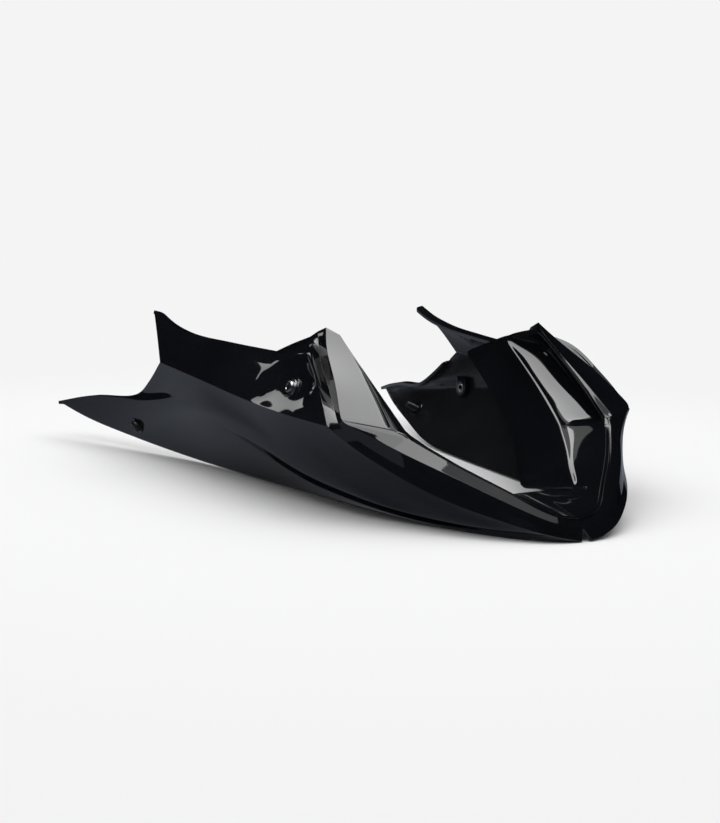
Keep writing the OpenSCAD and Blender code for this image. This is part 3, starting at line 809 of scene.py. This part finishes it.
gloss_group, grain_group = make_gloss_group(), make_grain_group()
dust_group, edge_group = make_dust_group(), make_edge_group()
print("shader groups:", [g.name for g in bpy.data.node_groups])

# %% [markdown]
# Each finish is a small graph round one Principled BSDF. Helpers clear the material, use a group, and
# add the shader with its constant values on its own sockets. The rest is left to the finish itself.

# %% The start of a finish
def cleared(owner):
    """The node tree of a material or a world, emptied."""
    owner.use_nodes = True
    owner.node_tree.nodes.clear()
    return owner.node_tree

def object_place(tree):
    return add(tree, "ShaderNodeTexCoord").outputs["Object"]

def use_group(tree, group, **inputs):
    return add(tree, "ShaderNodeGroup", node_tree=group, inputs=inputs).outputs

def bump(tree, height, distance_mm, strength):
    inputs = {"Height": height, "Distance": distance_mm * MM, "Strength": strength}
    return add(tree, "ShaderNodeBump", inputs=inputs).outputs[0]

def surface(tree, shader):
    add(tree, "ShaderNodeOutputMaterial", inputs={"Surface": shader})

def coat(tree, colour, roughness, normal, **constants):
    inputs = {"Base Color": colour, "Roughness": roughness, "Normal": normal, **constants}
    surface(tree, add(tree, "ShaderNodeBsdfPrincipled", inputs=inputs).outputs[0])

print("finish helpers are ready")

# %% [markdown]
# The pan has two faces of one plastic. The outer one is polished in the mould and the inner one isn't.
# The metals share one recipe: two tones in a fine grain, and a paler one where something rubbed them.

# %% The finishes
def finish_gloss(tree, place):
    """The outer face: black gloss with a trace of blue, almost clean."""
    gloss = use_group(tree, gloss_group, Place=place, Roughness=0.045, Smear=0.05)
    dust = use_group(tree, dust_group, Place=place, Amount=0.35)["Mask"]
    shade = span_of(tree, noise(tree, place, 120, 2), 0.3, 0.7)
    deep = blend_colour(tree, shade, (0.0035, 0.0038, 0.005, 1), (0.006, 0.0065, 0.0085, 1))
    colour = blend_colour(tree, dust, deep, (0.2, 0.19, 0.18, 1))
    roughness = calc(tree, "ADD", gloss["Roughness"], product(tree, dust, 0.4))
    coat(tree, colour, roughness, bump(tree, gloss["Height"], 0.02, 1.0), IOR=1.5)

def grained(tree, place, size, roughness, depth_mm, strength):
    """What a fine grain gives: a roughness that follows it, its bumps, and its mask."""
    grain = use_group(tree, grain_group, Place=place, Size=size)
    normal = bump(tree, grain["Height"], depth_mm, strength)
    return span_of(tree, grain["Mask"], 0.0, 1.0, *roughness), normal, grain["Mask"]

def finish_inside(tree, place):
    """The inner face: the same plastic off the rougher half of the mould."""
    patches = span_of(tree, noise(tree, place, 70, 3), 0.35, 0.65)
    colour = blend_colour(tree, patches, (0.007, 0.0075, 0.009, 1), (0.011, 0.0115, 0.013, 1))
    coat(tree, colour, *grained(tree, place, 0.8, (0.16, 0.26), 0.02, 0.5)[:2])

def finish_rubber(tree, place):
    """Moulded rubber with a matt bloom."""
    bloom = span_of(tree, noise(tree, place, 5, 3), 0.4, 0.7)
    colour = blend_colour(tree, bloom, (0.012, 0.012, 0.012, 1), (0.03, 0.029, 0.028, 1))
    coat(tree, colour, *grained(tree, place, 0.35, (0.6, 0.78), 0.02, 1.0)[:2])

def worn_metal(tree, place, grain, tones, worn, amount, metallic):
    """A screw's metal: two tones in its grain, and a paler one on its rubbed edges."""
    roughness, normal, mask = grained(tree, place, *grain)
    rubbed = use_group(tree, edge_group, Place=place, Amount=amount)["Mask"]
    colour = blend_colour(tree, rubbed, blend_colour(tree, mask, *tones), worn)
    coat(tree, colour, roughness, normal, Metallic=metallic)

def finish_steel(tree, place):
    """Turned stainless steel, dulled by handling and brighter on its edges."""
    grain, tones = (0.25, (0.22, 0.36), 0.01, 0.6), ((0.27, 0.275, 0.285, 1), (0.38, 0.385, 0.395, 1))
    worn_metal(tree, place, grain, tones, (0.62, 0.62, 0.63, 1), 0.7, 1.0)

def finish_black_screw(tree, place):
    """Black passivated steel: dark and satin, paler where a driver or the washer rubbed it."""
    grain, tones = (0.3, (0.26, 0.42), 0.01, 0.8), ((0.012, 0.012, 0.013, 1), (0.022, 0.022, 0.024, 1))
    worn_metal(tree, place, grain, tones, (0.18, 0.18, 0.19, 1), 0.4, 0.4)

def finish_insert(tree, place):
    """The insert's metal: nickel plated brass, bright on its face, with painted shade in the threaded bore.
    """
    roughness, normal, mask = grained(tree, place, 0.3, (0.2, 0.34), 0.01, 0.5)
    bright = blend_colour(tree, mask, (0.42, 0.41, 0.38, 1), (0.68, 0.67, 0.63, 1))
    # Painted shade: within 2.9 mm of the insert's axis, down the threaded bore, the colour goes near black.
    from_axis = distance(tree, place, to_frame(boss_seat), (1, 0, 1))
    face = span_of(tree, from_axis, 2.9 * MM, 3.3 * MM)
    colour = blend_colour(tree, face, (0.05, 0.048, 0.045, 1), bright)
    coat(tree, colour, roughness, normal, Metallic=1.0)

finishes = {"gloss_black": finish_gloss, "inner_face": finish_inside, "steel": finish_steel,
            "black_screw": finish_black_screw, "bush_rubber": finish_rubber, "insert_brass": finish_insert}
finish_of = {}
for name, finish in finishes.items():
    finish_of[name] = bpy.data.materials.get(name) or bpy.data.materials.new(name)
    tree = cleared(finish_of[name])
    finish(tree, object_place(tree))
for slot_number, name in enumerate(("gloss_black", "inner_face")):
    shell.data.materials[slot_number] = finish_of[name]
print("finishes:", list(finish_of))

# %% [markdown]
# The front fixing is a stack: a steel screw with its washer on the outside, and a soft bush whose body
# fills the hole in the shell and whose flange lies behind it, which keeps the plastic from cracking.

# %% The fixings
washer_t, bush_flange_t, washer_edge, bush_edge = 1.6, 2, 0.2, 0.35
front_shank, rear_shank = 22, 18

def place_piece(bm, node, making, finish):
    """A finished piece, named after its node and how it is made."""
    obj = object_from(bm, node + "_" + making)
    obj.data.materials.clear()
    obj.data.materials.append(finish_of[finish])
    crease_shading(obj, 32)
    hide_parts(node)
    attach(obj, "root")

def screw(head, shank, matrix):
    bm = button_head(head, matrix)
    threaded_shank(bm, shank, matrix @ Matrix.Translation((0, 0, 0.1)))
    return bm

def ring_piece(section, matrix):
    bm = bmesh.new()
    lathe(bm, section, steps=72, matrix=matrix)
    return bm

def washer_section():
    inner, outer, e = screw_hole, washer_d / 2, washer_edge
    return [(inner, e), (inner, washer_t - e), (inner + e, washer_t), (outer - e, washer_t),
            (outer, washer_t - e), (outer, e), (outer - e, 0), (inner + e, 0)]

def bush_section():
    inner, body, flange, e = screw_hole, bush_d / 2, bush_flange_d / 2, bush_edge
    back = -front_boss - bush_flange_t
    return ([(inner, back + e), (inner, -e), (inner + e, 0), (body - e, 0), (body, -e), (body, -front_boss)]
            + arc((flange - e, -front_boss - e), e, 90, 0, 3) + arc((flange - e, back + e), e, 0, -90, 3)
            + [(inner + e, back)])

for letter, side in sides.items():
    lifted = at_front(side) @ Matrix.Translation((0, 0, washer_t))
    for kind, making, finish, bm in (
            ("front_screw_", "turned", "steel", screw(front_head, front_shank, lifted)),
            ("front_washer_", "turned", "steel", ring_piece(washer_section(), at_front(side))),
            ("front_bush_", "moulded", "bush_rubber", ring_piece(bush_section(), at_front(side))),
            ("rear_screw_", "turned", "black_screw", screw(rear_head, rear_shank, at_rear(side)))):
        place_piece(bm, kind + letter, making, finish)

# %% [markdown]
# The threaded insert is pressed into its pad while that is hot. Its face shows as a bright ring with a
# countersunk mouth. The grooves inside are turned rings, which look the same as a helix at this size.

# %% The threaded inserts
core_radius, insert_proud = 2.5, 0.4

def insert_section():
    e, first_tooth, back = 0.25, 0.1, -insert_length
    groove_radius, mouth_radius = core_radius + 0.35, core_radius + 0.7
    section = [(insert_radius - e, insert_proud), (insert_radius, insert_proud - e),
               (insert_radius, back + e), (insert_radius - e, back), (groove_radius, back)]
    teeth = int(insert_length / pitch)
    for n in range(teeth):
        low = back + first_tooth + n * pitch
        section += [(groove_radius, low), (core_radius, low + 0.5 * pitch)]
    return section + [(groove_radius, back + first_tooth + teeth * pitch), (mouth_radius, insert_proud)]

for letter, side in sides.items():
    insert = ring_piece(insert_section(), at_boss(side))
    place_piece(insert, "boss_insert_" + letter, "turned", "insert_brass")
print("points in the insert's section:", len(insert_section()))

# %% [markdown]
# The studio is a pale floor that runs out of sight. Near the pan it is lit and takes the shadow. Further
# out it fades into the same pale tone as the world, so no horizon shows. The tone is given to camera,
# glossy and transmission rays, and all other rays get a dimmer one that lifts the shadows a little.

# %% The floor and the world
pale, paper_white, dim = (0.905, 0.905, 0.905, 1), (0.86, 0.86, 0.86, 1), (0.35, 0.35, 0.355, 1)
floor_radius, lit_to, faded_by = 4.0, 0.5, 1.0

def seen_rays(tree):
    """1 for rays that show the background, whether seen directly, in a gloss or through something."""
    path = add(tree, "ShaderNodeLightPath")
    some = calc(tree, "MAXIMUM", path.outputs["Is Camera Ray"], path.outputs["Is Glossy Ray"])
    return calc(tree, "MAXIMUM", some, path.outputs["Is Transmission Ray"])

def glow(tree, colour):
    return add(tree, "ShaderNodeEmission", inputs={"Color": colour, "Strength": 1.0}).outputs[0]

def paper_floor():
    bm = bmesh.new()
    bmesh.ops.create_circle(bm, cap_ends=True, segments=96, radius=floor_radius)
    obj = object_from(bm, "paper_floor")
    paper = bpy.data.materials.new("paper")
    tree = cleared(paper)
    away = distance(tree, object_place(tree))
    fade = product(tree, span_of(tree, away, lit_to, faded_by), seen_rays(tree))
    lit = add(tree, "ShaderNodeBsdfDiffuse", inputs={"Color": paper_white}).outputs[0]
    surface(tree, add(tree, "ShaderNodeMixShader", inputs={0: fade, 1: lit, 2: glow(tree, pale)}).outputs[0])
    obj.data.materials.append(paper)

def studio_world():
    world = bpy.data.worlds.new("studio")
    bpy.context.scene.world = world
    tree = cleared(world)
    tone = blend_colour(tree, seen_rays(tree), dim, pale)
    back = add(tree, "ShaderNodeBackground", inputs={"Color": tone, "Strength": 1.0}).outputs[0]
    add(tree, "ShaderNodeOutputWorld", inputs={"Surface": back})

paper_floor()
studio_world()
bpy.context.scene.view_settings.view_transform = "Standard"
print("floor radius in m:", floor_radius)

# %% [markdown]
# Black gloss is lit by what it mirrors. A soft box overhead gives the pale reflections on faces that look
# up, a second one before the chin gives the patch on the flank, and a small reflector lights the dish.
# These are only mirrored, while the wide fill above lights the floor and isn't mirrored. Dark cards round
# the pan keep the bands a deep black, and a glowing card on the floor is a painted reflection of it, with
# a painted shadow at the pan's foot and a cool grey further out.

# %% Soft boxes and dark cards
def soft_box(name, eye, target, size, radiance, glossy=True):
    """A lamp that looks that bright, where 1 is white. It is either only mirrored or never mirrored."""
    lamp = bpy.data.lights.new(name, "AREA")
    lamp.shape, lamp.size, lamp.size_y = "RECTANGLE", size[0], size[1]
    lamp.energy = radiance * pi * size[0] * size[1]
    obj = new_object(name, lamp)
    obj.matrix_world = aim(Vector(eye), Vector(target))
    obj.visible_camera = False
    obj.visible_glossy, obj.visible_diffuse = glossy, not glossy

card_black = bpy.data.materials.new("card_black")
card_black.use_nodes = True
card_shader = card_black.node_tree.nodes["Principled BSDF"]
card_shader.inputs["Base Color"].default_value = (0.0, 0.0, 0.0, 1)
card_shader.inputs["Specular IOR Level"].default_value = 0.0

# Painted shadow and painted reflection: the floor card glows in these two tones, dark at the pan's foot.
painted_foot_shadow, painted_floor_grey = (0.04, 0.04, 0.045, 1), (0.21, 0.23, 0.27, 1)

def painted_floor_reflection():
    """A painted reflection of the floor, seen only in the gloss: a painted shadow at the pan's foot, then
    cool grey.
    """
    tone = bpy.data.materials.new("painted_floor_reflection")
    tree = cleared(tone)
    away = distance(tree, object_place(tree), weights=(0.55, 1, 1))
    surface(tree, glow(tree, blend_colour(tree, span_of(tree, away, 0.11, 0.2), painted_foot_shadow, painted_floor_grey)))
    return tone

def dark_card(name, eye, target, size, finish):
    """A card that only shows in reflections."""
    bm = bmesh.new()
    made = bmesh.ops.create_grid(bm, x_segments=1, y_segments=1, size=0.5)["verts"]
    place = aim(Vector(eye), Vector(target)) @ Matrix.Diagonal((size[0], size[1], 1, 1))
    bmesh.ops.transform(bm, matrix=place, verts=made)
    obj = object_from(bm, name)
    obj.data.materials.append(finish)
    obj.visible_camera = obj.visible_shadow = obj.visible_diffuse = False

soft_box("overhead", (-0.14, -0.04, 1.25), (-0.14, 0.01, 0), (0.82, 1.08), 5.0)
soft_box("front_box", (0.72, -0.305, 1.25), (0.72, -0.255, 0), (0.89, 0.55), 4.5)
soft_box("fill_above", (-0.05, 0, 1.6), (0, 0, 0), (3.2, 3.2), 1.4, glossy=False)
soft_box("reflector", (-0.064, -0.174, 0.192), (0.11, -0.145, 0.083), (0.036, 0.036), 2.2)
card_ring, card_middle, card_count = 1.45, Vector((0, 0, 1.1)), 8
for number in range(card_count):
    eye = around(tau * number / card_count, 0) * card_ring + card_middle
    dark_card("card_%d" % number, eye, card_middle, (1.25, 2.2), card_black)
dark_card("card_floor", (0, 0, 0.0015), (0, 0.001, 1), (2.7, 2.7), painted_floor_reflection())
